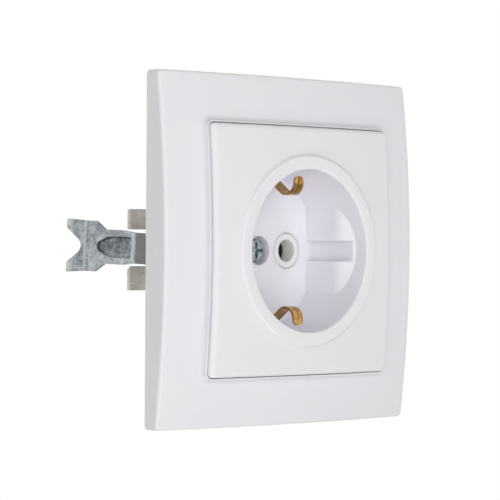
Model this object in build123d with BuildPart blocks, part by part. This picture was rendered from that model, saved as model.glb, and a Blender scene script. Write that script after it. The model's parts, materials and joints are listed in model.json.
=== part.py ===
"""Flush wall socket with a domed frame, side earth clips and two spreading claws.

Millimetres. X is to the right, Z is up and Y goes into the wall. Y = 0 is the wall surface and the
front faces -Y. The origin is the middle of the socket on the wall surface. A height is measured from
the wall towards the front, and a depth from the wall into the box.
"""

from build123d import *
import math
import os

# Frame
frame_size = 84.0
frame_corner = 1.2
frame_wall = 2.0
frame_edge_round = 0.8
frame_apex = 9.8
dome_radius = 305.6
opening_size = 60.3
opening_corner = 1.5
lip_rise = 1.6
lip_width = 0.4
lip_sweep = 1.25
collar_wall = 1.5
ledge_width = 1.5
ledge_thickness = 1.2
box_hole_distance = 60.0
box_screw_head_room = 5.5
box_screw_head_height = 3.4

# Centre plate with ring and recess
plate_gap = 0.2
plate_corner = 1.4
plate_apex = 12.66
plate_edge_round = 1.3
plate_wall = 2.0
skirt_wall = 1.5
ring_top = 12.75
ring_top_radius = 22.85
ring_foot_radius = 23.3
ring_foot_round = 0.7
ring_root = 2.0
ring_root_height = 0.8
ring_round = 0.35
recess_radius = 19.64
recess_floor = 5.3
recess_wall = 1.6
floor_thickness = 2.0
pad_face = 16.5
pad_front = 6.0
pad_front_round = 4.5
groove_width = 5.1
groove_reach = 19.0
clip_slot_width = 5.8
clip_slot_reach = 20.45
clip_slot_front = 11.6
cup_flat = 20.1
cup_flat_front = 4.5
cup_flat_height = 16.0

# Pin holes and the centre screw
pin_spacing = 19.0
pin_bore = 5.6
sleeve_diameter = 8.6
sleeve_gap = 0.1
screw_head_radius = 2.9
screw_head_height = 1.9
screw_seat = 8.1
counterbore_radius = 3.6
boss_radius = 4.6
boss_depth = 9.5
thread_radius = 1.5
thread_play = 0.05
screw_play = 0.2
centre_screw_length = 8.0

# Mounting frame
mount_size = 71.0
mount_corner = 6.0
mount_sheet = 1.0
mount_opening_radius = 21.9
mount_opening_flat = 20.4
box_hole_radius = 1.8
side_slot_length = 8.0
level_hole_offset = 27.0
level_hole_size = 4.0
level_hole_corner = 0.8

# Base and rear cover
base_half_width = 20.0
base_half_height = 24.0
base_corner = 2.0
base_depth = 26.0
base_slope_start = 21.5
base_rear_half_width = 15.5
cover_thickness = 2.5
cup_gap = 0.35
base_front_depth = 7.5
pocket_front = 9.5
pocket_inner = 5.5
pocket_outer = 15.6
pocket_half_height = 16.0
pocket_corner = 1.0
channel_half_width = 4.2
channel_half_height = 21.2
claw_groove_half_height = 4.8
claw_groove_floor = 18.3

# Earth bracket
strip = 0.6
clip_width = 3.0
strap_width = 7.0
strap_corner = 1.0
clip_root = 19.8
clip_bend_depth = 3.9
clip_front = 8.25
clip_fold = 10.98
clip_fold_round = 2.9
clip_end = 18.1
clip_end_round = 1.4
clip_rib = 16.9
clip_rib_length = 2.0
clip_rib_width = 0.7
clip_rib_rise = 0.15
collar_radius = 2.5
collar_length = 2.4
slot_side_play = 0.3
clip_hole_height = 4.0
clip_hole_front = 4.8

# Contacts and terminals
jaw_gap = 4.4
jaw_front = 11.5
jaw_throat = 14.0
jaw_half_height = 3.5
jaw_bow = 0.7
jaw_lead = 0.7
cover_room = 0.2
terminal_height = 10.5
tongue_half_width = 3.3
tongue_end = 14.6
tongue_corner = 0.9
terminal_screw_length = 5.5
terminal_head_radius = 2.7
terminal_head_height = 2.0
clamp_size = 6.6
clamp_thickness = 1.0
clamp_corner = 0.6
earth_tab_height = 8.0
earth_tab_half_width = 3.2
earth_terminal_reach = 5.25
driver_hole_radius = 2.8
wire_hole_radius = 1.5
wire_hole_side = 2.4
wire_hole_rise = 3.9

# Rivets and the rear cover's screws
base_rivet_edge = 3.5
base_rivet_radius = 1.5
base_rivet_length = 7.0
rivet_head_radius = 2.5
rivet_head_height = 0.9
guide_rivet_z = 7.3
guide_rivet_radius = 1.2
guide_rivet_head = 2.0
cover_screw_x = 12.0
cover_screw_edge = 3.7
cover_screw_radius = 1.3
cover_screw_length = 9.0
cover_screw_head = 2.4
cover_screw_head_height = 1.5

# Claw guide, a forked bracket
guide_sheet = 1.0
guide_web = 21.2
guide_half_height = 9.9
guide_fork_depth = 22.1
guide_reach = 27.4
guide_foot_reach = 27.0
guide_bend = 1.0
fork_slot_top = 4.95
fork_slot_bottom = -4.0
fork_corner_width = 0.9
fork_corner_height = 1.0
window_front = 2.0
foot_notch_half_height = 2.3

# Claw, its screw and its nut
claw_sheet = 1.1
claw_screw_x = 22.8
claw_screw_end = 20.2
claw_screw_head_radius = 2.4
claw_screw_head_height = 2.0
claw_foot_depth = 11.2
claw_foot_end = 19.8
claw_neck_width = 7.5
claw_arm_width = 8.4
claw_shoulder_width = 12.4
claw_tip_width = 13.3
claw_bend_x = 27.4
claw_bend_depth = 21.0
claw_flare = 18.0
claw_arm_length = 13.8
claw_shoulder_start = 8.5
claw_shoulder_end = 11.2
claw_neck_end = 3.4
tail_flare = 43.0
tail_length = 4.8
tail_notch_foot = -0.25
tail_notch_round = 3.0
tail_tip = 0.6
claw_tilt = 2.4
claw_bend_round = 0.8
dimple_width = 5.2
dimple_start = 0.8
dimple_narrowing = 7.4
dimple_tip = 12.05
dimple_tip_round = 1.5
dimple_side_round = 5.0
dimple_depth = 0.8
dimple_margin = 0.5
dimple_slope = 25.0
dimple_back_slope = 15.0
nut_width = 5.0
nut_height = 6.6
nut_thickness = 2.9
nut_rocker_radius = 3.0
nut_gap = 0.3
foot_slot_half_length = 2.7
foot_slot_half_width = 1.8

# Sizes that follow from the ones above
plate_size = opening_size - 2 * plate_gap
ledge_front = mount_sheet + ledge_thickness
cup_radius = recess_radius + recess_wall
floor_rear = recess_floor + floor_thickness
pin_x = pin_spacing / 2
strap_depth = pocket_front + strip / 2
terminal_depth = base_depth - cover_room - terminal_head_height - clamp_thickness - strip
base_rivet_x = base_half_width - base_rivet_edge
base_rivet_z = base_half_height - base_rivet_edge
cover_screw_z = base_half_height - cover_screw_edge
guide_rivet_x = (guide_reach + guide_web) / 2

# Lengths for cuts that pass right through, and the tolerance for picking edges by length
far = 60.0
spare = 1.0
tolerance = 0.01


def front_plane(x, depth, z):
    """Plane through a point, parallel to the wall, with its normal towards the front."""
    return Plane(origin=(x, depth, z), x_dir=(1, 0, 0), z_dir=(0, -1, 0))


def dome(apex):
    """Sphere that gives a front surface its gentle dome, with the given height in the middle."""
    return Location((0, dome_radius - apex, 0))


def domed_block(size, corner, start, apex):
    """Square block from a height to a domed front."""
    with BuildPart() as block:
        with BuildSketch(front_plane(0, -start, 0)):
            RectangleRounded(size, size, corner)
        extrude(amount=apex + spare - start)
        with Locations(dome(apex)):
            Sphere(dome_radius, mode=Mode.INTERSECT)
    return block.part


def screw(head_plane, head_radius, head_height, shank_radius, shank_length, crossed):
    """Pan-head screw with its seat on a plane, its head on the plane's normal side."""
    slot_width = 0.3 * head_radius
    slot_depth = 0.55 * head_height
    slot_length = 1.4 * head_radius
    rim_round = 0.45 * head_height
    tip_chamfer = 0.3 * shank_radius
    with BuildPart() as pan_head:
        with BuildSketch(head_plane):
            Circle(head_radius)
        extrude(amount=head_height)
        rim = pan_head.edges().group_by(Axis(head_plane.origin, head_plane.z_dir))[-1]
        fillet(rim, rim_round)
        with BuildSketch(head_plane.offset(head_height)):
            Rectangle(slot_length, slot_width)
            if crossed:
                Rectangle(slot_width, slot_length)
        extrude(amount=-slot_depth, mode=Mode.SUBTRACT)
        with BuildSketch(head_plane):
            Circle(shank_radius)
        extrude(amount=-shank_length)
        tip = pan_head.edges().group_by(Axis(head_plane.origin, head_plane.z_dir))[0]
        chamfer(tip, tip_chamfer)
    return pan_head.part


def rivet(head_plane, shank_radius, shank_length, head_radius, tail_height):
    """Domed rivet head on a plane, its shank behind, and a formed tail where one is asked for."""
    rim_round = 0.8 * rivet_head_height
    tail_radius = 0.8 * head_radius
    with BuildPart() as snap_head:
        with BuildSketch(head_plane):
            Circle(head_radius)
        extrude(amount=rivet_head_height)
        rim = snap_head.edges().group_by(Axis(head_plane.origin, head_plane.z_dir))[-1]
        fillet(rim, rim_round)
        with BuildSketch(head_plane):
            Circle(shank_radius)
        extrude(amount=-shank_length - tail_height)
        if tail_height:
            with BuildSketch(head_plane.offset(-shank_length)):
                Circle(tail_radius)
            extrude(amount=-tail_height)
    return snap_head.part


# Outer frame: domed shell with a lip that sweeps up to the centre plate
with BuildPart() as frame_cavity:
    add(domed_block(frame_size - 2 * frame_wall, frame_corner, -1, frame_apex - frame_wall))
    with BuildSketch(front_plane(0, spare, 0)):
        RectangleRounded(opening_size + 2 * collar_wall, opening_size + 2 * collar_wall, opening_corner)
    extrude(amount=far, mode=Mode.SUBTRACT)

with BuildPart() as outer_frame:
    add(domed_block(frame_size, frame_corner, 0, frame_apex))
    front_face = outer_frame.faces().sort_by(Axis.Y)[0]
    fillet(front_face.edges(), frame_edge_round)
    with BuildSketch(front_plane(0, 0, 0)):
        lip_outer = opening_size + 2 * lip_width
        RectangleRounded(lip_outer, lip_outer, opening_corner + lip_width)
    extrude(amount=frame_apex + 2 * lip_rise)
    with Locations(dome(frame_apex + lip_rise)):
        Sphere(dome_radius, mode=Mode.INTERSECT)
    dome_faces = outer_frame.faces().filter_by(GeomType.SPHERE)
    lip_foot = dome_faces.filter_by(lambda face: len(face.inner_wires()) > 0)[0].inner_wires()[0]
    fillet(lip_foot.edges(), lip_sweep)
    add(frame_cavity.part, mode=Mode.SUBTRACT)
    with BuildSketch(front_plane(0, -ledge_front, 0)):
        RectangleRounded(opening_size, opening_size, opening_corner)
    extrude(amount=far, mode=Mode.SUBTRACT)
    with BuildSketch(front_plane(0, spare, 0)):
        ledge_inner = opening_size - 2 * ledge_width
        RectangleRounded(ledge_inner, ledge_inner, opening_corner)
    extrude(amount=far, mode=Mode.SUBTRACT)
    with BuildSketch(front_plane(0, spare, 0)):
        Rectangle(mount_size + spare, mount_size + spare)
    extrude(amount=spare + mount_sheet, mode=Mode.SUBTRACT)
    with BuildSketch(front_plane(0, -mount_sheet, 0)):
        with GridLocations(1, box_hole_distance, 1, 2):
            Rectangle(2 * box_screw_head_room, 2 * box_screw_head_room)
    extrude(amount=box_screw_head_height - mount_sheet, mode=Mode.SUBTRACT)

# Plug recess, as the space it leaves: a round bore with two guide pads, grooves and clip slots
with BuildPart() as recess_space:
    with BuildSketch(front_plane(0, recess_floor, 0)):
        Circle(recess_radius)
    extrude(amount=recess_floor + ring_top + spare)
    with BuildSketch(Plane.XY) as pad_profile:
        pad_rise = far - pad_face
        with BuildLine():
            Polyline(
                (pad_face, recess_floor + spare),
                (pad_face, -pad_front),
                (pad_face + pad_rise, -pad_front - pad_rise),
                (far, recess_floor + spare),
                close=True,
            )
        make_face()
        fillet(pad_profile.vertices().group_by(Axis.X)[0].sort_by(Axis.Y)[0], pad_front_round)
        mirror(about=Plane.YZ)
    extrude(amount=recess_radius, both=True, mode=Mode.SUBTRACT)
    with BuildSketch(front_plane(0, recess_floor, 0)):
        Rectangle(2 * groove_reach, groove_width)
    extrude(amount=recess_floor + pad_front + groove_reach - pad_face)
    with BuildSketch(front_plane(0, recess_floor, 0)):
        Rectangle(clip_slot_width, 2 * clip_slot_reach)
    extrude(amount=recess_floor + clip_slot_front)

# Centre plate: domed plate, raised ring and the cup of the recess in one moulding
with BuildPart() as plate_cavity:
    skirt_inner = plate_size - 2 * skirt_wall
    add(domed_block(skirt_inner, plate_corner, 0, plate_apex - plate_wall))
    with BuildSketch(front_plane(0, spare, 0)):
        Circle(cup_radius)
    extrude(amount=far, mode=Mode.SUBTRACT)

with BuildPart() as centre_plate:
    add(domed_block(plate_size, plate_corner, ledge_front, plate_apex))
    plate_front = centre_plate.faces().sort_by(Axis.Y)[0]
    fillet(plate_front.edges(), plate_edge_round)
    with BuildSketch(Plane.XY):
        with BuildLine():
            Polyline(
                (0, -ring_top),
                (ring_top_radius, -ring_top),
                (ring_foot_radius, -plate_apex + ring_root - ring_root_height),
                (ring_foot_radius, -plate_apex + ring_root),
                (0, -plate_apex + ring_root),
                close=True,
            )
        make_face()
    revolve(axis=Axis.Y)
    ring_foot = centre_plate.faces().filter_by(GeomType.SPHERE).sort_by(SortBy.AREA)[-1].inner_wires()
    fillet(ring_foot[0].edges(), ring_foot_round)
    ring_face = centre_plate.faces().sort_by(Axis.Y)[0]
    fillet(ring_face.edges(), ring_round)
    add(plate_cavity.part, mode=Mode.SUBTRACT)
    with BuildSketch(front_plane(0, floor_rear, 0)):
        Circle(cup_radius)
    extrude(amount=floor_rear + plate_apex - plate_wall)
    with BuildSketch(front_plane(0, floor_rear, 0)):
        with GridLocations(2 * cup_flat + far, 1, 2, 1):
            Rectangle(far, cup_flat_height)
    extrude(amount=floor_rear + cup_flat_front, mode=Mode.SUBTRACT)
    with BuildSketch(front_plane(0, boss_depth, 0)):
        Circle(boss_radius)
    extrude(amount=boss_depth - recess_floor - floor_thickness / 2)
    add(recess_space.part, mode=Mode.SUBTRACT)
    ring_inner = centre_plate.faces().sort_by(Axis.Y)[0].inner_wires()[0]
    fillet(ring_inner.edges(), ring_round)
    with BuildSketch(front_plane(0, recess_floor, 0)):
        Circle(counterbore_radius)
    extrude(amount=recess_floor - screw_seat, mode=Mode.SUBTRACT)
    with BuildSketch(front_plane(0, boss_depth + spare, 0)):
        Circle(thread_radius + screw_play)
        with GridLocations(pin_spacing, 1, 2, 1):
            Circle(sleeve_diameter / 2 + sleeve_gap)
        with GridLocations(1, 2 * clip_slot_reach, 1, 2):
            Rectangle(clip_width + 2 * slot_side_play, clip_hole_height)
    extrude(amount=boss_depth + spare - clip_hole_front, mode=Mode.SUBTRACT)

# Centre screw, sunk in the floor of the recess
with BuildPart() as centre_screw:
    seat = front_plane(0, screw_seat, 0)
    add(screw(seat, screw_head_radius, screw_head_height, thread_radius, centre_screw_length, True))

# Mounting frame: one flat square stamping with rounded corners
with BuildSketch() as mount_opening:
    Circle(mount_opening_radius)
    Rectangle(2 * mount_opening_flat, 2 * mount_opening_radius, mode=Mode.INTERSECT)

with BuildPart() as mounting_frame:
    with BuildSketch(front_plane(0, 0, 0)):
        RectangleRounded(mount_size, mount_size, mount_corner)
        add(mount_opening.sketch, mode=Mode.SUBTRACT)
        with GridLocations(1, box_hole_distance, 1, 2):
            Circle(box_hole_radius, mode=Mode.SUBTRACT)
        with GridLocations(box_hole_distance, 1, 2, 1):
            SlotOverall(side_slot_length, 2 * box_hole_radius, rotation=90, mode=Mode.SUBTRACT)
        with GridLocations(2 * level_hole_offset, 2 * level_hole_offset, 2, 2):
            RectangleRounded(
                level_hole_size, level_hole_size, level_hole_corner, rotation=45, mode=Mode.SUBTRACT
            )
        with GridLocations(2 * base_rivet_x, 2 * base_rivet_z, 2, 2):
            Circle(base_rivet_radius + thread_play, mode=Mode.SUBTRACT)
        with GridLocations(2 * claw_screw_x, 1, 2, 1):
            Circle(thread_radius + screw_play, mode=Mode.SUBTRACT)
        with GridLocations(2 * guide_rivet_x, 2 * guide_rivet_z, 2, 2):
            Circle(guide_rivet_radius + thread_play, mode=Mode.SUBTRACT)
    extrude(amount=mount_sheet)

# Socket base: ivory block with a round seat for the cup, pin sleeves and chambers open at the rear
earth_terminal = -earth_tab_height - earth_terminal_reach
terminals = [(-pin_x, terminal_height, 1), (pin_x, terminal_height, 1), (0, earth_terminal, -1)]
cover_screw_places = [(cover_screw_x, cover_screw_z), (-cover_screw_x, -cover_screw_z)]
base_slope = (base_half_width - base_rear_half_width) / (base_depth + cover_thickness - base_slope_start)


def base_reach(depth):
    """Half width of the base and its cover at a depth: straight sides that slope in at the rear."""
    return base_half_width - base_slope * max(0, depth - base_slope_start)


with BuildPart() as socket_base:
    with BuildSketch(Plane.XY):
        with BuildLine():
            Polyline(
                (0, 0),
                (base_half_width, 0),
                (base_half_width, base_slope_start),
                (base_reach(base_depth), base_depth),
                (0, base_depth),
                close=True,
            )
        make_face()
        mirror(about=Plane.YZ)
    extrude(amount=base_half_height, both=True)
    corners = socket_base.edges().filter_by(Axis.Y).group_by(Axis.X)
    fillet(corners[0] + corners[-1], base_corner)
    with BuildSketch(front_plane(0, base_front_depth, 0)):
        Circle(cup_radius + cup_gap)
    extrude(amount=base_front_depth, mode=Mode.SUBTRACT)
    with BuildSketch(front_plane(0, base_front_depth, 0)):
        with GridLocations(pin_spacing, 1, 2, 1):
            Circle(sleeve_diameter / 2)
    extrude(amount=base_front_depth - recess_floor)
    with BuildSketch(front_plane(0, base_depth, 0)):
        with GridLocations(pocket_inner + pocket_outer, 1, 2, 1):
            RectangleRounded(pocket_outer - pocket_inner, 2 * pocket_half_height, pocket_corner)
        RectangleRounded(2 * channel_half_width, 2 * channel_half_height, pocket_corner)
    extrude(amount=base_depth - pocket_front, mode=Mode.SUBTRACT)
    with BuildSketch(front_plane(0, pocket_front, 0)):
        Circle(boss_radius + plate_gap)
    extrude(amount=pocket_front, mode=Mode.SUBTRACT)
    with BuildSketch(front_plane(0, base_depth, 0)):
        with GridLocations(pin_spacing, 1, 2, 1):
            Circle(pin_bore / 2)
        with GridLocations(1, 2 * clip_root, 1, 2):
            Rectangle(clip_width + 2 * slot_side_play, 2 * strip)
    extrude(amount=base_depth, mode=Mode.SUBTRACT)
    with BuildSketch(front_plane(0, base_depth, 0)):
        with GridLocations(2 * claw_groove_floor + far, 1, 2, 1):
            Rectangle(far, 2 * claw_groove_half_height)
    extrude(amount=base_depth - base_front_depth, mode=Mode.SUBTRACT)
    with BuildSketch(front_plane(0, 0, 0)):
        with GridLocations(2 * base_rivet_x, 2 * base_rivet_z, 2, 2):
            Circle(base_rivet_radius + thread_play)
    extrude(amount=-base_rivet_length, mode=Mode.SUBTRACT)
    with BuildSketch(front_plane(0, base_depth, 0)):
        with Locations(*cover_screw_places):
            Circle(cover_screw_radius + thread_play)
    extrude(amount=cover_screw_length, mode=Mode.SUBTRACT)

# Rear cover: plate with driver holes, two wire holes for each terminal and two sunk screws
with BuildPart() as rear_cover:
    with BuildSketch(Plane.XY):
        with BuildLine():
            Polyline(
                (0, base_depth),
                (base_reach(base_depth), base_depth),
                (base_rear_half_width, base_depth + cover_thickness),
                (0, base_depth + cover_thickness),
                close=True,
            )
        make_face()
        mirror(about=Plane.YZ)
    extrude(amount=base_half_height, both=True)
    cover_rear = rear_cover.faces().sort_by(Axis.Y)[-1]
    fillet(cover_rear.edges().filter_by(Axis.X), base_corner / 2)
    with BuildSketch(front_plane(0, base_depth + cover_thickness, 0)):
        for x, z, side in terminals:
            with Locations((x, z)):
                Circle(driver_hole_radius)
            with Locations((x, z + side * wire_hole_rise)):
                with GridLocations(2 * wire_hole_side, 1, 2, 1):
                    Circle(wire_hole_radius)
        with Locations(*cover_screw_places):
            Circle(cover_screw_radius + thread_play)
    extrude(amount=cover_thickness, mode=Mode.SUBTRACT)
    with BuildSketch(front_plane(0, base_depth + cover_thickness, 0)):
        with Locations(*cover_screw_places):
            Circle(cover_screw_head + screw_play)
    extrude(amount=cover_screw_head_height, mode=Mode.SUBTRACT)

# Earth bracket: one brass strip with a clip at each end, a tapped collar and a terminal tab
with BuildPart() as earth_bracket:
    with BuildSketch(Plane.YZ):
        with BuildLine():
            FilletPolyline(
                (strap_depth, clip_root - strap_width),
                (strap_depth, clip_root),
                (clip_bend_depth, clip_root),
                (-clip_front, clip_fold),
                (-clip_front, clip_end),
                radius=(strip, strip, clip_fold_round),
            )
        trace(line_width=strip)
    extrude(amount=clip_width / 2, both=True)
    end_corners = earth_bracket.edges().filter_by(lambda edge: abs(edge.length - strip) < tolerance)
    fillet(end_corners.sort_by(Axis.Y)[:2], clip_end_round)
    with BuildSketch(front_plane(0, -clip_front, clip_rib)):
        SlotOverall(clip_rib_length, clip_rib_width, rotation=90)
    extrude(amount=strip / 2 + clip_rib_rise)
    mirror(about=Plane.XY)
    with BuildSketch(front_plane(0, pocket_front + strip, 0)):
        Rectangle(clip_width, 2 * clip_root - strap_width)
        RectangleRounded(strap_width, 2 * clip_root - 2 * strap_width, strap_corner)
    extrude(amount=strip)
    with BuildSketch(front_plane(0, pocket_front + strip, 0)):
        Circle(collar_radius)
    extrude(amount=-collar_length)
    with BuildSketch(Plane.YZ):
        with BuildLine():
            FilletPolyline(
                (strap_depth, -earth_tab_height),
                (terminal_depth + strip / 2, -earth_tab_height),
                (terminal_depth + strip / 2, earth_terminal - tongue_end + terminal_height),
                radius=strip,
            )
        trace(line_width=strip)
    extrude(amount=earth_tab_half_width, both=True)
    with BuildSketch(front_plane(0, terminal_depth, 0)):
        Circle(thread_radius + thread_play)
    extrude(amount=terminal_depth, mode=Mode.SUBTRACT)
    with BuildSketch(front_plane(0, terminal_depth + strip, earth_terminal)):
        Circle(thread_radius + thread_play)
    extrude(amount=strip, mode=Mode.SUBTRACT)


def fork_contact(x):
    """Contact with two sprung jaws for a round pin and a tongue for the terminal screw."""
    jaw = (jaw_gap + strip) / 2
    bar = terminal_depth + strip / 2
    with BuildPart() as fork:
        with BuildSketch(Plane.XY):
            with BuildLine():
                FilletPolyline(
                    (x - jaw - jaw_lead, jaw_front),
                    (x - jaw, jaw_throat),
                    (x - jaw - jaw_bow, bar),
                    (x + jaw + jaw_bow, bar),
                    (x + jaw, jaw_throat),
                    (x + jaw + jaw_lead, jaw_front),
                    radius=(2 * strip, strip, strip, 2 * strip),
                )
            trace(line_width=strip)
        extrude(amount=jaw_half_height, both=True)
        with BuildSketch(front_plane(x, terminal_depth + strip, 0)):
            with Locations((0, tongue_end / 2)):
                RectangleRounded(2 * tongue_half_width, tongue_end, tongue_corner)
            with Locations((0, terminal_height)):
                Circle(thread_radius + thread_play, mode=Mode.SUBTRACT)
        extrude(amount=strip)
    return fork.part


with BuildPart() as live_contact:
    add(fork_contact(-pin_x))

with BuildPart() as neutral_contact:
    add(fork_contact(pin_x))


def terminal_screw(x, z):
    """Slotted clamp screw, driven from the rear."""
    clamp_rear = terminal_depth + strip + clamp_thickness
    rear_plane = Plane(origin=(x, clamp_rear, z), x_dir=(1, 0, 0), z_dir=(0, 1, 0))
    return screw(
        rear_plane, terminal_head_radius, terminal_head_height, thread_radius, terminal_screw_length, False
    )


def wire_clamp(x, z):
    """Square plate that a terminal screw presses on the wires."""
    with BuildPart() as plate:
        with BuildSketch(front_plane(x, terminal_depth + strip + clamp_thickness, z)):
            RectangleRounded(clamp_size, clamp_size, clamp_corner)
            Circle(thread_radius + screw_play, mode=Mode.SUBTRACT)
        extrude(amount=clamp_thickness)
    return plate.part


with BuildPart() as live_terminal_screw:
    add(terminal_screw(-pin_x, terminal_height))

with BuildPart() as neutral_terminal_screw:
    add(terminal_screw(pin_x, terminal_height))

with BuildPart() as earth_terminal_screw:
    add(terminal_screw(0, earth_terminal))

with BuildPart() as live_clamp:
    add(wire_clamp(-pin_x, terminal_height))

with BuildPart() as neutral_clamp:
    add(wire_clamp(pin_x, terminal_height))

with BuildPart() as earth_clamp:
    add(wire_clamp(0, earth_terminal))

# Screws of the rear cover
with BuildPart() as rear_cover_screws:
    cover_seat = base_depth + cover_thickness - cover_screw_head_height
    for x, z in cover_screw_places:
        seat = Plane(origin=(x, cover_seat, z), x_dir=(1, 0, 0), z_dir=(0, 1, 0))
        reach = cover_screw_length - cover_screw_head_height
        add(screw(seat, cover_screw_head, cover_screw_head_height, cover_screw_radius, reach, True))

# Rivets of the base and of the two claw guides
with BuildPart() as base_rivets:
    for place in GridLocations(2 * base_rivet_x, 2 * base_rivet_z, 2, 2):
        x, z, _ = place.position
        seat = front_plane(x, -mount_sheet, z)
        add(rivet(seat, base_rivet_radius, base_rivet_length, rivet_head_radius, 0))

with BuildPart() as guide_rivets:
    for place in GridLocations(2 * guide_rivet_x, 2 * guide_rivet_z, 2, 2):
        x, z, _ = place.position
        seat = front_plane(x, -mount_sheet, z)
        stack = mount_sheet + guide_sheet
        add(rivet(seat, guide_rivet_radius, stack, guide_rivet_head, rivet_head_height))

# Claw guide: bracket with a foot under the mounting frame and a fork that the claw arm passes
with BuildPart() as left_claw_guide:
    with BuildSketch(Plane.XY):
        half = guide_sheet / 2
        with BuildLine():
            FilletPolyline(
                (-guide_foot_reach, half),
                (-guide_web - half, half),
                (-guide_web - half, guide_fork_depth + half),
                (-guide_reach, guide_fork_depth + half),
                radius=guide_bend,
            )
        trace(line_width=guide_sheet)
    extrude(amount=guide_half_height, both=True)
    with BuildSketch(front_plane(0, guide_fork_depth + 2 * guide_sheet, 0)):
        with BuildLine():
            Polyline(
                (0, fork_slot_top),
                (-far, fork_slot_top),
                (-far, fork_slot_bottom - fork_corner_height),
                (-guide_reach, fork_slot_bottom - fork_corner_height),
                (fork_corner_width - guide_reach, fork_slot_bottom),
                (0, fork_slot_bottom),
                close=True,
            )
        make_face()
    extrude(amount=guide_fork_depth + 2 * guide_sheet - window_front, mode=Mode.SUBTRACT)
    with BuildSketch(Plane.XY):
        with Locations((-claw_screw_x - foot_notch_half_height, 0)):
            Rectangle(far, window_front, align=(Align.MIN, Align.MIN))
    extrude(amount=foot_notch_half_height, both=True, mode=Mode.SUBTRACT)
    with BuildSketch(front_plane(0, guide_sheet, 0)):
        with Locations((-guide_rivet_x, guide_rivet_z), (-guide_rivet_x, -guide_rivet_z)):
            Circle(guide_rivet_radius + thread_play)
    extrude(amount=guide_sheet, mode=Mode.SUBTRACT)

with BuildPart() as right_claw_guide:
    mirror(left_claw_guide.part, about=Plane.YZ)

# Claw: foot on the nut, arm through the fork, flared end with a long dimple and a fishtail.
# It hangs loose, with its free end a little raised
nut_front = claw_foot_depth + claw_sheet + nut_gap
nut_axis_depth = nut_front + nut_rocker_radius
flare = math.radians(claw_flare)
tail = math.radians(tail_flare)
arm_line = -claw_bend_x + claw_sheet / 2
foot_line = claw_foot_depth + claw_sheet / 2
crease_x = arm_line - claw_arm_length * math.sin(flare)
crease_depth = claw_bend_depth + claw_arm_length * math.cos(flare)
tail_x = crease_x - tail_length * math.sin(tail)
tail_depth = crease_depth + tail_length * math.cos(tail)


def along_arm(length):
    """Depth of a point on the flared arm, by its distance from the bend."""
    return claw_bend_depth + length * math.cos(flare)


def dimple_shape(margin):
    """Outline of the arm's long dimple, square near the bend and narrowing to a round end."""
    half_width = dimple_width / 2 + margin
    with BuildSketch() as shape:
        with BuildLine():
            FilletPolyline(
                (dimple_start - margin, -half_width),
                (dimple_narrowing, -half_width),
                (dimple_tip + 2 * margin, 0),
                (dimple_narrowing, half_width),
                (dimple_start - margin, half_width),
                radius=(dimple_side_round, dimple_tip_round, dimple_side_round),
            )
            Line((dimple_start - margin, half_width), (dimple_start - margin, -half_width))
        make_face()
    return shape.sketch


with BuildPart() as level_claw:
    with BuildSketch(Plane.XY):
        with BuildLine():
            FilletPolyline(
                (-claw_foot_end, foot_line),
                (arm_line, foot_line),
                (arm_line, claw_bend_depth),
                (crease_x, crease_depth),
                (tail_x, tail_depth),
                radius=(claw_bend_round, 2 * claw_bend_round, claw_bend_round),
            )
        trace(line_width=claw_sheet)
    extrude(amount=claw_tip_width / 2, both=True)
    with BuildSketch(Plane.YZ) as claw_outline:
        with BuildLine():
            Polyline(
                (crease_depth + tail_notch_foot, 0),
                (claw_foot_depth - spare, 0),
                (claw_foot_depth - spare, claw_neck_width / 2),
                (claw_bend_depth, claw_neck_width / 2),
                (along_arm(claw_neck_end), claw_arm_width / 2),
                (along_arm(claw_shoulder_start), claw_arm_width / 2),
                (along_arm(claw_shoulder_end), claw_shoulder_width / 2),
                (crease_depth, claw_shoulder_width / 2),
                (tail_depth + claw_sheet, claw_tip_width / 2),
                (tail_depth + claw_sheet, claw_tip_width / 2 - tail_tip),
                close=True,
            )
        make_face()
        mirror(about=Plane.XZ)
        notch = claw_outline.vertices().filter_by(lambda point: abs(point.Y) < tolerance).sort_by(Axis.X)[-1]
        fillet(notch, tail_notch_round)
    extrude(amount=far, both=True, mode=Mode.INTERSECT)
    arm_middle = Plane(
        origin=(arm_line, claw_bend_depth, 0),
        x_dir=(-math.sin(flare), math.cos(flare), 0),
        z_dir=(math.cos(flare), math.sin(flare), 0),
    )
    with BuildSketch(arm_middle):
        add(dimple_shape(dimple_margin))
    extrude(amount=claw_sheet / 2 + dimple_depth, taper=dimple_back_slope)
    with BuildSketch(arm_middle.offset(-claw_sheet / 2)):
        add(dimple_shape(0))
    extrude(amount=dimple_depth, taper=dimple_slope, mode=Mode.SUBTRACT)
    with BuildSketch(front_plane(-claw_screw_x, foot_line + claw_sheet, 0)):
        with Locations((foot_slot_half_width - foot_slot_half_length, 0)):
            Circle(foot_slot_half_width)
            Rectangle(far, 2 * foot_slot_half_width, align=(Align.MIN, Align.CENTER))
    extrude(amount=2 * claw_sheet, mode=Mode.SUBTRACT)

with BuildPart() as left_claw:
    add(level_claw.part.rotate(Axis((0, foot_line, 0), (1, 0, 0)), claw_tilt))

with BuildPart() as right_claw:
    mirror(left_claw.part, about=Plane.YZ)

# Rocking nut behind the claw's foot, its round front face is the axis that the claw turns on
with BuildPart() as left_claw_nut:
    with BuildSketch(Plane.XY):
        with Locations((-claw_screw_x, nut_axis_depth)):
            Circle(nut_rocker_radius)
        with Locations((-claw_screw_x, nut_front)):
            Rectangle(nut_width, nut_thickness, align=(Align.CENTER, Align.MIN), mode=Mode.INTERSECT)
    extrude(amount=nut_height / 2, both=True)
    with BuildSketch(front_plane(-claw_screw_x, base_depth, 0)):
        Circle(thread_radius + thread_play)
    extrude(amount=base_depth, mode=Mode.SUBTRACT)

with BuildPart() as right_claw_nut:
    mirror(left_claw_nut.part, about=Plane.YZ)


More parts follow.
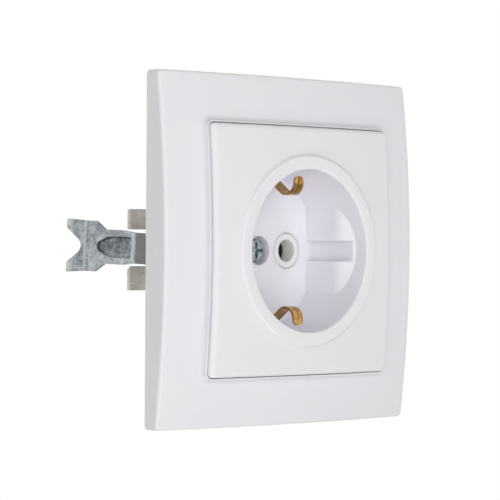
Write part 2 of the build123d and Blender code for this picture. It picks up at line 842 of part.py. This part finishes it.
def claw_screw(x):
    """Long cheese-head screw from the mounting frame through the claw's foot and nut."""
    seat = front_plane(x, -mount_sheet, 0)
    reach = mount_sheet + claw_screw_end
    return screw(seat, claw_screw_head_radius, claw_screw_head_height, thread_radius, reach, True)


with BuildPart() as left_claw_screw:
    add(claw_screw(-claw_screw_x))

with BuildPart() as right_claw_screw:
    add(claw_screw(claw_screw_x))

# Files, one for each piece
pieces = {
    "outer_frame": outer_frame,
    "centre_plate": centre_plate,
    "centre_screw": centre_screw,
    "mounting_frame": mounting_frame,
    "socket_base": socket_base,
    "rear_cover": rear_cover,
    "rear_cover_screws": rear_cover_screws,
    "base_rivets": base_rivets,
    "guide_rivets": guide_rivets,
    "earth_bracket": earth_bracket,
    "live_contact": live_contact,
    "neutral_contact": neutral_contact,
    "live_terminal_screw": live_terminal_screw,
    "neutral_terminal_screw": neutral_terminal_screw,
    "earth_terminal_screw": earth_terminal_screw,
    "live_clamp": live_clamp,
    "neutral_clamp": neutral_clamp,
    "earth_clamp": earth_clamp,
    "left_claw_guide": left_claw_guide,
    "right_claw_guide": right_claw_guide,
    "left_claw": left_claw,
    "right_claw": right_claw,
    "left_claw_nut": left_claw_nut,
    "right_claw_nut": right_claw_nut,
    "left_claw_screw": left_claw_screw,
    "right_claw_screw": right_claw_screw,
}
os.makedirs("parts", exist_ok=True)
for name, piece in pieces.items():
    piece.part.label = name
    export_step(piece.part, f"parts/{name}.step")
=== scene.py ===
import json
import math
import bpy
from mathutils import Matrix, Vector

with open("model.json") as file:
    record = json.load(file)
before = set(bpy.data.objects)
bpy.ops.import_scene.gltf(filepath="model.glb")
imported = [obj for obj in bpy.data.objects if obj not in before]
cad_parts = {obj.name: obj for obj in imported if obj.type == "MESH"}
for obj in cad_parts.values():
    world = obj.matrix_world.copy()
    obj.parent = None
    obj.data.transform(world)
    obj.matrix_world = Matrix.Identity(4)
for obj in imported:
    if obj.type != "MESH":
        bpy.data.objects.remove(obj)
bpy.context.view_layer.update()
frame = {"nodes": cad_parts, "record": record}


def direction(azimuth, elevation):
    """Unit vector from the socket's middle. Azimuth 0 is the front and +90 degrees the right side."""
    return Vector((
        math.sin(azimuth) * math.cos(elevation),
        -math.cos(azimuth) * math.cos(elevation),
        math.sin(elevation),
    ))


# Camera at the photograph's place: left of the front, level with the socket's middle
def place_camera():
    roll = math.radians(0.397)
    distance = 0.61098
    back = direction(math.radians(-44.672), math.radians(0.006))
    right = Vector((0, 0, 1)).cross(back).normalized()
    up = back.cross(right)
    tilted_right = right * math.cos(roll) + up * math.sin(roll)
    tilted_up = up * math.cos(roll) - right * math.sin(roll)
    turn = Matrix((tilted_right, tilted_up, back)).transposed()
    lens = bpy.data.cameras.new("camera")
    lens.sensor_width = 36
    lens.lens = 179.94
    lens.shift_x = -0.0482
    lens.shift_y = 0.00135
    lens.clip_start = 0.01
    lens.clip_end = 50
    camera = bpy.data.objects.new("camera", lens)
    camera.matrix_world = Matrix.Translation(back * distance) @ turn.to_4x4()
    bpy.context.scene.collection.objects.link(camera)
    bpy.context.scene.camera = camera


place_camera()


# Small helpers for node materials
class Nodes:
    """A material's node tree, with short calls for adding and joining nodes."""

    def __init__(self, name):
        self.material = bpy.data.materials.new(name)
        self.material.use_nodes = True
        self.tree = self.material.node_tree
        self.tree.nodes.clear()
        self.coordinates = self.add("ShaderNodeTexCoord").outputs["Object"]

    def add(self, kind, **settings):
        node = self.tree.nodes.new(kind)
        for key, value in settings.items():
            setattr(node, key, value)
        return node

    def join(self, source, target):
        self.tree.links.new(source, target)

    def axes(self):
        """The three coordinates, in metres."""
        split = self.add("ShaderNodeSeparateXYZ")
        self.join(self.coordinates, split.inputs["Vector"])
        return split.outputs["X"], split.outputs["Y"], split.outputs["Z"]

    def maths(self, operation, first, second=0.0):
        node = self.add("ShaderNodeMath", operation=operation)
        for value, socket in ((first, node.inputs[0]), (second, node.inputs[1])):
            if isinstance(value, (int, float)):
                socket.default_value = value
            else:
                self.join(value, socket)
        return node.outputs["Value"]

    def times(self, first, second):
        """The product, which for two shares is one only where both are one."""
        return self.maths("MULTIPLY", first, second)

    def band(self, value, middle, half_width):
        """One at the middle, falling to nothing at the half width on both sides."""
        away = self.maths("ABSOLUTE", self.maths("SUBTRACT", value, middle))
        return self.grey(away, 1, 0, 0, half_width)

    def tint(self, colour, share, target):
        """The colour, replaced by another where the share is one."""
        node = self.add("ShaderNodeMix", data_type="RGBA")
        self.join(share, node.inputs["Factor"])
        self.join(colour, node.inputs["A"])
        if isinstance(target, tuple):
            node.inputs["B"].default_value = (*target, 1)
        else:
            self.join(target, node.inputs["B"])
        return node.outputs["Result"]

    def stretched(self, scale):
        mapping = self.add("ShaderNodeMapping")
        mapping.inputs["Scale"].default_value = scale
        self.join(self.coordinates, mapping.inputs["Vector"])
        return mapping.outputs["Vector"]

    def noise(self, scale, detail=3, roughness=0.55, distortion=0, vector=None):
        node = self.add("ShaderNodeTexNoise")
        node.inputs["Scale"].default_value = scale
        node.inputs["Detail"].default_value = detail
        node.inputs["Roughness"].default_value = roughness
        node.inputs["Distortion"].default_value = distortion
        self.join(vector or self.coordinates, node.inputs["Vector"])
        return node.outputs["Fac"]

    def ramp(self, value, *stops):
        """Colour that runs through the stops, each one a position and a colour."""
        node = self.add("ShaderNodeValToRGB")
        elements = node.color_ramp.elements
        while len(elements) < len(stops):
            elements.new(0.5)
        for element, (position, colour) in zip(elements, stops):
            element.position = position
            element.color = (*colour, 1)
        self.join(value, node.inputs["Fac"])
        return node.outputs["Color"]

    def grey(self, value, low, high, start=0.35, end=0.65):
        """From low at the start value to high at the end value, and level beyond them."""
        node = self.add("ShaderNodeMapRange")
        node.inputs["From Min"].default_value = start
        node.inputs["From Max"].default_value = end
        node.inputs["To Min"].default_value = low
        node.inputs["To Max"].default_value = high
        self.join(value, node.inputs["Value"])
        return node.outputs["Result"]

    def bump(self, height, strength, distance, before=None):
        node = self.add("ShaderNodeBump")
        node.inputs["Strength"].default_value = strength
        node.inputs["Distance"].default_value = distance
        self.join(height, node.inputs["Height"])
        if before:
            self.join(before, node.inputs["Normal"])
        return node.outputs["Normal"]

    def shader(self, colour, roughness, normal, metallic=0.0, glow_depth=0.0):
        """Surface with its colour, gloss and bumps. Light spreads inside it by the glow depth."""
        node = self.add("ShaderNodeBsdfPrincipled")
        self.join(colour, node.inputs["Base Color"])
        self.join(roughness, node.inputs["Roughness"])
        self.join(normal, node.inputs["Normal"])
        node.inputs["Metallic"].default_value = metallic
        if glow_depth:
            node.inputs["Subsurface Weight"].default_value = 1.0
            node.inputs["Subsurface Radius"].default_value = (1.0, 0.95, 1.0)
            node.inputs["Subsurface Scale"].default_value = glow_depth
        output = self.add("ShaderNodeOutputMaterial")
        self.join(node.outputs["BSDF"], output.inputs["Surface"])
        return self.material


def moulded_plastic(name, light, dark, smooth, rough, gate_mark=None):
    """Moulded plastic: faint flow clouds, a very fine grain and, where one is given, a gate mark."""
    make = Nodes(name)
    clouds = make.noise(45, detail=4)
    grain = make.noise(2600, detail=2)
    colour = make.ramp(clouds, (0.3, dark), (0.7, light))
    roughness = make.grey(make.noise(160, detail=5), smooth, rough)
    normal = make.bump(grain, 0.08, 0.00001)
    if gate_mark:
        away = make.add("ShaderNodeVectorMath", operation="DISTANCE")
        make.join(make.coordinates, away.inputs[0])
        away.inputs[1].default_value = gate_mark
        mark = make.grey(away.outputs["Value"], 1, 0, 0.00048, 0.0012)
        colour = make.tint(colour, mark, (0.94, 0.925, 1.0))
        normal = make.bump(mark, 0.5, 0.0001, before=normal)
    return make.shader(colour, roughness, normal, glow_depth=0.0009)


def plated_steel(name, colours, smooth, rough, patch, depth, metallic=1.0, grain=(1, 1, 0.06)):
    """Zinc-plated steel: mottled patches, fine scratches along the grain and an uneven gloss.

    The colours are those of the dark, middling and light patches.
    """
    dark, middle, light = colours
    make = Nodes(name)
    patches = make.noise(patch, detail=6, roughness=0.62, distortion=0.6)
    specks = make.noise(patch * 6, detail=3)
    scratches = make.noise(1300, detail=3, vector=make.stretched(grain))
    colour = make.ramp(patches, (0.3, dark), (0.5, middle), (0.72, light))
    colour = make.tint(colour, make.grey(scratches, 0.5, 0, 0.38, 0.52), dark)
    roughness = make.grey(specks, smooth, rough)
    normal = make.bump(specks, 0.3, depth)
    normal = make.bump(scratches, 0.12, depth / 2, before=normal)
    return make.shader(colour, roughness, normal, metallic=metallic)


def claw_zinc(name):
    """Blue zinc on the claws: mottled, with painted shade in the long dimple and on the neck, and painted
    highlights at its folds, on the dimple's lower rim and on the torn tips of the tail.

    Depths along the claw are measured from the wall, as if the claw weren't tilted.
    """
    bend = 0.0210
    crease = 0.0341
    arm_face = 0.0196
    tilt = math.radians(2.4)
    flare = math.radians(18)
    make = Nodes(name)
    x, y, z = make.axes()
    along = make.maths("ADD", y, make.times(z, math.tan(tilt)))

    # Shares of the surface: one inside the region and nothing elsewhere
    sideways = make.times(make.maths("ABSOLUTE", x), math.cos(flare))
    outward = make.maths("SUBTRACT", sideways, make.times(along, math.sin(flare)))
    past_bend = make.grey(along, 0, 1, bend + 0.0004, bend + 0.0008)
    on_arm = make.times(past_bend, make.grey(along, 1, 0, crease - 0.0012, crease - 0.0008))
    # Painted shade: the long dimple is coloured darker, in mottled patches, where it sinks below the arm's
    # face
    dimple_shade = make.times(make.grey(outward, 1, 0, arm_face - 0.0007, arm_face - 0.0002), on_arm)
    rim = make.times(make.band(outward, arm_face - 0.0004, 0.0005), on_arm)
    # Painted highlight: a light band along the dimple's lower rim
    lower_rim_highlight = make.times(rim, make.grey(z, 0.9, 0, -0.0012, -0.0004))
    # Painted shade: the neck, in front of the bend between the fork tabs, is coloured darker
    neck_shade = make.grey(along, 1, 0, bend - 0.0012, bend - 0.0002)
    # Painted highlights: light bands along the bend and the crease
    fold_highlights = make.maths("MAXIMUM", make.band(along, bend, 0.0009), make.band(along, crease - 0.0001, 0.00045))

    # Uneven zinc, its pits, the mottle with painted shade in the dimple and the painted highlight on the
    # torn tips of the tail
    patches = make.noise(620, detail=8, roughness=0.75, distortion=0.6)
    specks = make.noise(1900, detail=4, roughness=0.7)
    pits = make.grey(specks, 1, 0, 0.34, 0.42)
    mottle = make.noise(1300, detail=7, roughness=0.8)
    # Painted highlight: the tail's tips are coloured near white, with a ragged edge for the torn metal
    torn_tip_highlight = make.times(make.grey(along, 0, 0.9, 0.0360, 0.0372), make.grey(mottle, 0, 1, 0.42, 0.55))
    dimple_shade_colour = make.ramp(
        mottle, (0.36, (0.05, 0.065, 0.08)), (0.5, (0.195, 0.222, 0.242)), (0.62, (0.45, 0.475, 0.49))
    )

    colour = make.ramp(
        patches, (0.34, (0.18, 0.22, 0.245)), (0.5, (0.39, 0.425, 0.45)), (0.67, (0.58, 0.61, 0.63))
    )
    colour = make.tint(colour, dimple_shade, dimple_shade_colour)
    colour = make.tint(colour, lower_rim_highlight, (0.86, 0.88, 0.89))
    colour = make.tint(colour, torn_tip_highlight, (0.90, 0.88, 0.84))
    colour = make.tint(colour, neck_shade, (0.215, 0.22, 0.225))
    colour = make.tint(colour, make.times(pits, 0.6), (0.05, 0.06, 0.07))
    colour = make.tint(colour, make.times(fold_highlights, 0.7), (0.68, 0.70, 0.71))
    roughness = make.grey(patches, 0.5, 0.3)
    normal = make.bump(patches, 0.35, 0.00006)
    normal = make.bump(specks, 0.3, 0.00003, before=normal)
    return make.shader(colour, roughness, normal, metallic=1.0)


def rolled_brass(name):
    """Rolled brass strip: streaks along the strip, browner where it has tarnished."""
    make = Nodes(name)
    tarnish = make.noise(260, detail=5, distortion=0.5)
    streaks = make.noise(1500, detail=3, vector=make.stretched((1, 0.05, 0.05)))
    colour = make.ramp(
        tarnish, (0.3, (0.27, 0.135, 0.035)), (0.52, (0.56, 0.32, 0.10)), (0.74, (0.80, 0.54, 0.24))
    )
    colour = make.tint(colour, make.grey(streaks, 0.75, 0, 0.38, 0.5), (0.22, 0.10, 0.025))
    roughness = make.grey(streaks, 0.16, 0.34)
    normal = make.bump(streaks, 0.3, 0.00004)
    return make.shader(colour, roughness, normal, metallic=1.0)


white = moulded_plastic(
    "white_plastic", light=(0.900, 0.889, 0.978), dark=(0.890, 0.879, 0.970),
    smooth=0.3, rough=0.38, gate_mark=(-0.0420, -0.0034, -0.0004),
)
# A lighter copy of the white plastic for the centre plate: painted light, standing in for brighter light on
# the plate and in its recess
plate_white_lit = moulded_plastic(
    "centre_plate_white_lit", light=(0.912, 0.899, 0.990), dark=(0.902, 0.889, 0.982),
    smooth=0.3, rough=0.38,
)
ivory = moulded_plastic(
    "ivory_plastic", light=(0.93, 0.912, 0.86), dark=(0.91, 0.892, 0.84),
    smooth=0.36, rough=0.46,
)
zinc = plated_steel(
    "zinc_steel", ((0.11, 0.17, 0.18), (0.42, 0.50, 0.505), (0.84, 0.90, 0.90)),
    smooth=0.12, rough=0.3, patch=700, depth=0.00004,
)
sheet_metal = plated_steel(
    "frame_steel", ((0.70, 0.655, 0.60), (0.86, 0.83, 0.79), (0.94, 0.915, 0.88)),
    smooth=0.6, rough=0.75, patch=260, depth=0.00002, metallic=0.5, grain=(0.08, 0.08, 1),
)

finishes = {
    "white_plastic": white,
    "ivory_plastic": ivory,
    "zinc_steel": zinc,
    "claw_steel": claw_zinc("claw_steel"),
    "frame_steel": sheet_metal,
    "brass": rolled_brass("brass"),
}
slot_of = {entry["node"]: entry["material_slot"] for entry in frame["record"]["subparts"]}
for name, node in frame["nodes"].items():
    for place in node.material_slots:
        place.material = finishes[slot_of[name]]
# The centre plate takes the lighter copy of the white, which paints in light
for place in frame["nodes"]["centre_plate"].material_slots:
    place.material = plate_white_lit


# Plain studio: soft key light from the left front, a weaker one behind, even white surroundings
def add_softbox(name, azimuth, elevation, size, power):
    """Square lamp 1.3 m from the socket, which metal doesn't mirror."""
    light = bpy.data.lights.new(name, "AREA")
    light.shape = "SQUARE"
    light.size = size
    light.energy = power
    lamp = bpy.data.objects.new(name, light)
    lamp.visible_glossy = False
    towards = direction(math.radians(azimuth), math.radians(elevation))
    lamp.location = towards * 1.3
    lamp.rotation_euler = towards.to_track_quat("Z", "Y").to_euler()
    bpy.context.scene.collection.objects.link(lamp)


add_softbox("key_softbox", azimuth=-31, elevation=-6, size=1.6, power=13.4)
add_softbox("rear_softbox", azimuth=145, elevation=20, size=1.2, power=5.5)


def white_surroundings():
    """World that is white to the camera, in metal and through glass, and dimmer as a light."""
    world = bpy.data.worlds.new("surroundings")
    bpy.context.scene.world = world
    world.use_nodes = True
    tree = world.node_tree
    tree.nodes.clear()
    path = tree.nodes.new("ShaderNodeLightPath")
    seen = tree.nodes.new("ShaderNodeMath")
    seen.operation = "MAXIMUM"
    tree.links.new(path.outputs["Is Camera Ray"], seen.inputs[0])
    tree.links.new(path.outputs["Is Glossy Ray"], seen.inputs[1])
    seen_through = tree.nodes.new("ShaderNodeMath")
    seen_through.operation = "MAXIMUM"
    tree.links.new(seen.outputs[0], seen_through.inputs[0])
    tree.links.new(path.outputs["Is Transmission Ray"], seen_through.inputs[1])
    strength = tree.nodes.new("ShaderNodeMapRange")
    strength.inputs["To Min"].default_value = 0.35
    strength.inputs["To Max"].default_value = 1.0
    tree.links.new(seen_through.outputs[0], strength.inputs["Value"])
    background = tree.nodes.new("ShaderNodeBackground")
    background.inputs["Color"].default_value = (1, 1, 1, 1)
    tree.links.new(strength.outputs["Result"], background.inputs["Strength"])
    output = tree.nodes.new("ShaderNodeOutputWorld")
    tree.links.new(background.outputs["Background"], output.inputs["Surface"])


def white_floor():
    """Pale floor that takes shadows and light, brightened only where the camera sees it."""
    make = Nodes("floor_white")
    diffuse = make.add("ShaderNodeBsdfDiffuse")
    diffuse.inputs["Color"].default_value = (0.94, 0.94, 0.94, 1)
    path = make.add("ShaderNodeLightPath")
    glow = make.add("ShaderNodeEmission")
    make.join(make.grey(path.outputs["Is Camera Ray"], 0, 0.8, 0, 1), glow.inputs["Strength"])
    both = make.add("ShaderNodeAddShader")
    make.join(diffuse.outputs["BSDF"], both.inputs[0])
    make.join(glow.outputs["Emission"], both.inputs[1])
    output = make.add("ShaderNodeOutputMaterial")
    make.join(both.outputs["Shader"], output.inputs["Surface"])
    bpy.ops.mesh.primitive_plane_add(size=8, location=(0, 0, -0.8))
    floor = bpy.context.object
    floor.name = "floor"
    floor.data.materials.append(make.material)


white_surroundings()
white_floor()

bpy.context.scene.view_settings.view_transform = "Standard"
